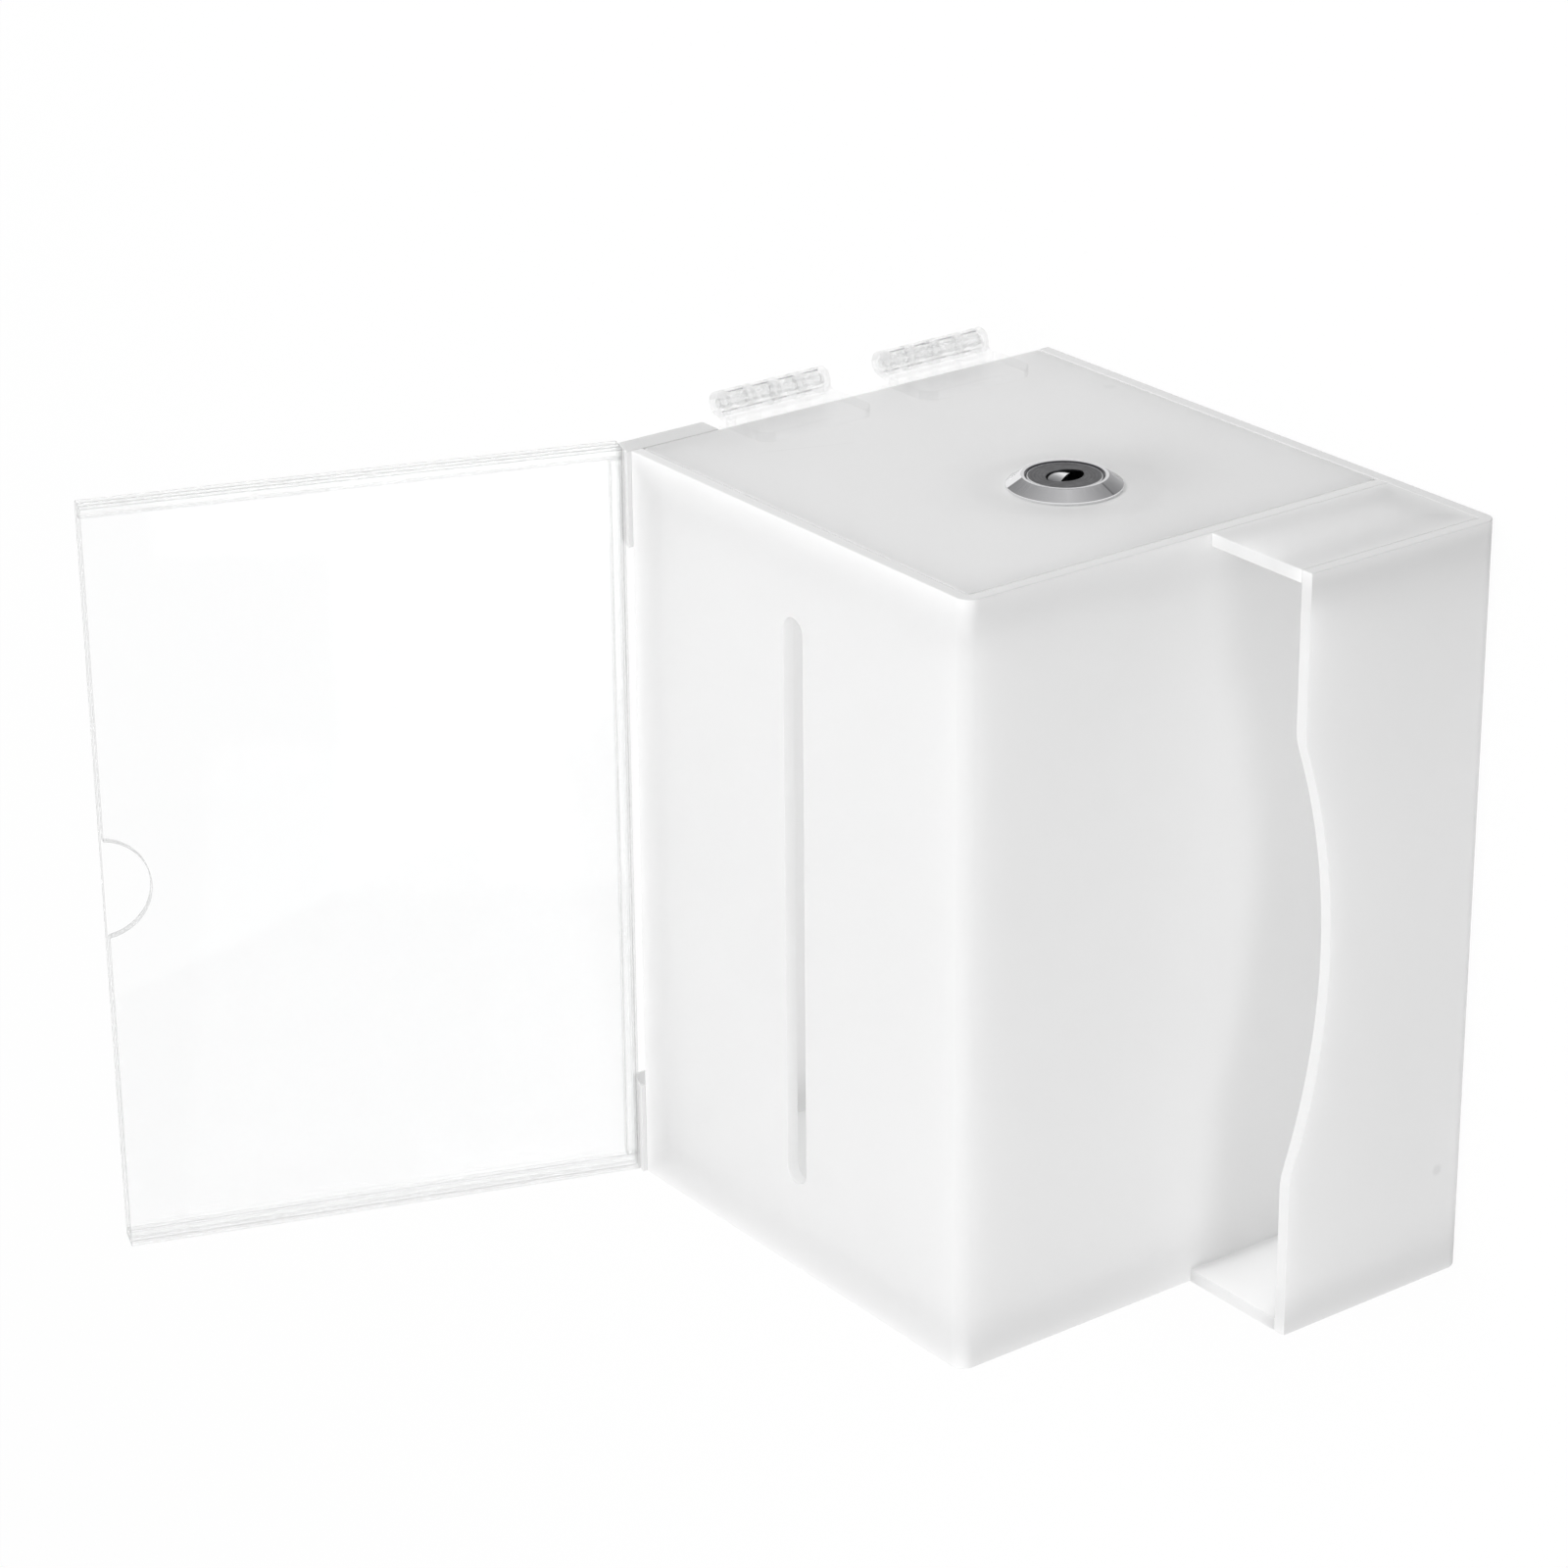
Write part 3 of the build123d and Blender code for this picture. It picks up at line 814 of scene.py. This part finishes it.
class BALLOT_OT_sign_holder(bpy.types.Operator):
    """Clear sign holder"""

    bl_idname = "ballot.sign_holder"
    bl_label = "Sign holder"

    def execute(self, context):
        settings = context.scene.ballot_box.sheet
        low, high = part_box("sign_rear_sheet")
        rise, lean_run = high.z - low.z, high.y - low.y
        clear = clear_finish(settings, Vector((0, -rise, lean_run)).normalized())
        for node in NODES:
            if node.startswith("sign_"):
                dress(node, clear, settings.edge_round, settings.seam)
        return {"FINISHED"}


class BALLOT_OT_strike_block(bpy.types.Operator):
    """Clear block that the door shuts on"""

    bl_idname = "ballot.strike_block"
    bl_label = "Strike block"

    def execute(self, context):
        settings = context.scene.ballot_box.sheet
        block = clear_block_finish(settings)
        dress("strike_block", block, settings.edge_round, settings.seam)
        return {"FINISHED"}


class BALLOT_OT_hinges(bpy.types.Operator):
    """Clear moulded hinges"""

    bl_idname = "ballot.hinges"
    bl_label = "Hinges"

    def execute(self, context):
        settings = context.scene.ballot_box.hinge
        axis = middle("hinge_lower_pin")
        narrow = hinge_finish(settings, "hinge_plastic", axis, 0.0)
        # The back leaves' material adds a painted dark line of shade along the wide knuckles
        wide = hinge_finish(settings, "hinge_plastic_ridged", axis, 1.0)
        for node, slot in SLOT_OF.items():
            if slot == "hinge_plastic":
                plastic = wide if node.endswith("back_leaf") else narrow
                dress(node, plastic, settings.edge_round, settings.seam)
        return {"FINISHED"}


class BALLOT_OT_cam_lock(bpy.types.Operator):
    """Cam lock with its plug, shutter, nut, cam and screw"""

    bl_idname = "ballot.cam_lock"
    bl_label = "Cam lock"

    def execute(self, context):
        settings = context.scene.ballot_box.lock
        centre = middle("lock_housing")
        _, plug_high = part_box("lock_plug")
        finishes = {
            "lock_chrome": chrome_finish(settings, centre),
            "lock_plug": plug_finish(settings, centre, plug_high.x),
            "lock_steel": steel_finish(settings),
        }
        shutter = shutter_finish(settings, middle("lock_shutter"))
        for node, slot in SLOT_OF.items():
            if slot in finishes:
                finish = shutter if node == "lock_shutter" else finishes[slot]
                dress(node, finish, settings.edge_round)
        return {"FINISHED"}


class BALLOT_OT_stage(bpy.types.Operator):
    """Plain white floor, soft light and camera"""

    bl_idname = "ballot.stage"
    bl_label = "Stage"

    def execute(self, context):
        settings = context.scene.ballot_box.stage
        context.scene.view_settings.view_transform = "Standard"
        self.lay_floor(context, settings)
        self.light_room(context, settings)
        self.place_camera(context, settings)
        return {"FINISHED"}

    def seen_directly(self, finish):
        """1 for rays from the camera, a reflection or clear material."""
        path = finish.node("ShaderNodeLightPath")
        rays = ("Is Camera Ray", "Is Glossy Ray", "Is Transmission Ray")
        camera, glossy, through = [finish.value(path, name) for name in rays]
        return camera.highest(glossy).highest(through)

    def lay_floor(self, context, settings):
        shape = bmesh.new()
        bmesh.ops.create_grid(shape, x_segments=1, y_segments=1, size=settings.floor_size / 2)
        bmesh.ops.translate(shape, verts=shape.verts, vec=(0, 0, -settings.floor_drop))
        mesh = bpy.data.meshes.new("floor")
        shape.to_mesh(mesh)
        shape.free()
        floor = bpy.data.objects.new("floor", mesh)
        context.scene.collection.objects.link(floor)
        finish = new_finish("white_floor")
        seen = self.seen_directly(finish)
        matt = finish.surface({
            "Base Color": finish.mix(seen, settings.floor_matt, settings.white),
            "Roughness": 1.0,
            "Specular IOR Level": 0.0,
        })
        plain = finish.node("ShaderNodeEmission", sockets={"Color": settings.white})
        mesh.materials.append(finish.layered(seen * settings.floor_glow, matt, plain))

    def light_room(self, context, settings):
        world = bpy.data.worlds.new("white_room")
        context.scene.world = world
        finish = Finish(world)
        seen = self.seen_directly(finish)
        strength = settings.ambient + seen * (1 - settings.ambient)
        room = finish.node(
            "ShaderNodeBackground", sockets={"Color": settings.white, "Strength": strength}
        )
        finish.output(room.outputs[0], "ShaderNodeOutputWorld")
        for name, place, size in LAMPS:
            self.add_lamp(context, name, getattr(settings, f"{name}_power"), Vector(place), size)

    def add_lamp(self, context, name, power, place, size):
        lamp = bpy.data.lights.new(name, "AREA")
        lamp.energy = power
        lamp.size = size
        light = bpy.data.objects.new(name, lamp)
        light.location = place
        light.rotation_euler = place.to_track_quat("Z", "Y").to_euler()
        light.visible_glossy = False
        context.scene.collection.objects.link(light)

    def place_camera(self, context, settings):
        place = Vector(settings.camera_place)
        back = (place - Vector(settings.camera_aim)).normalized()
        turn = back.to_track_quat("Z", "Y").to_matrix().to_4x4()
        roll = Matrix.Rotation(settings.camera_roll, 4, "Z")
        camera = bpy.data.objects.new("camera", bpy.data.cameras.new("camera"))
        camera.data.lens = settings.camera_lens
        camera.data.clip_start = 0.01
        camera.matrix_world = Matrix.Translation(place) @ turn @ roll
        context.scene.collection.objects.link(camera)
        context.scene.camera = camera


class BALLOT_PT_panel(bpy.types.Panel):
    """Lists the steps that dress the ballot box"""

    bl_idname = "BALLOT_PT_panel"
    bl_label = "Ballot Box"
    bl_space_type = "VIEW_3D"
    bl_region_type = "UI"
    bl_category = "Ballot Box"

    def draw(self, context):
        for step in STEPS:
            self.layout.operator(step.bl_idname)


STEPS = (
    BALLOT_OT_stage,
    BALLOT_OT_opal_sheets,
    BALLOT_OT_sign_holder,
    BALLOT_OT_strike_block,
    BALLOT_OT_hinges,
    BALLOT_OT_cam_lock,
)
SETTINGS = (SheetSettings, HingeSettings, LockSettings, StageSettings, BallotBoxSettings)
CLASSES = (*SETTINGS, *STEPS, BALLOT_PT_panel)


def register():
    for cls in CLASSES:
        bpy.utils.register_class(cls)
    bpy.types.Scene.ballot_box = PointerProperty(type=BallotBoxSettings)


def unregister():
    del bpy.types.Scene.ballot_box
    for cls in reversed(CLASSES):
        bpy.utils.unregister_class(cls)


def main():
    register()
    for step in STEPS:
        group, name = step.bl_idname.split(".")
        getattr(getattr(bpy.ops, group), name)()


if __name__ == "__main__":
    main()
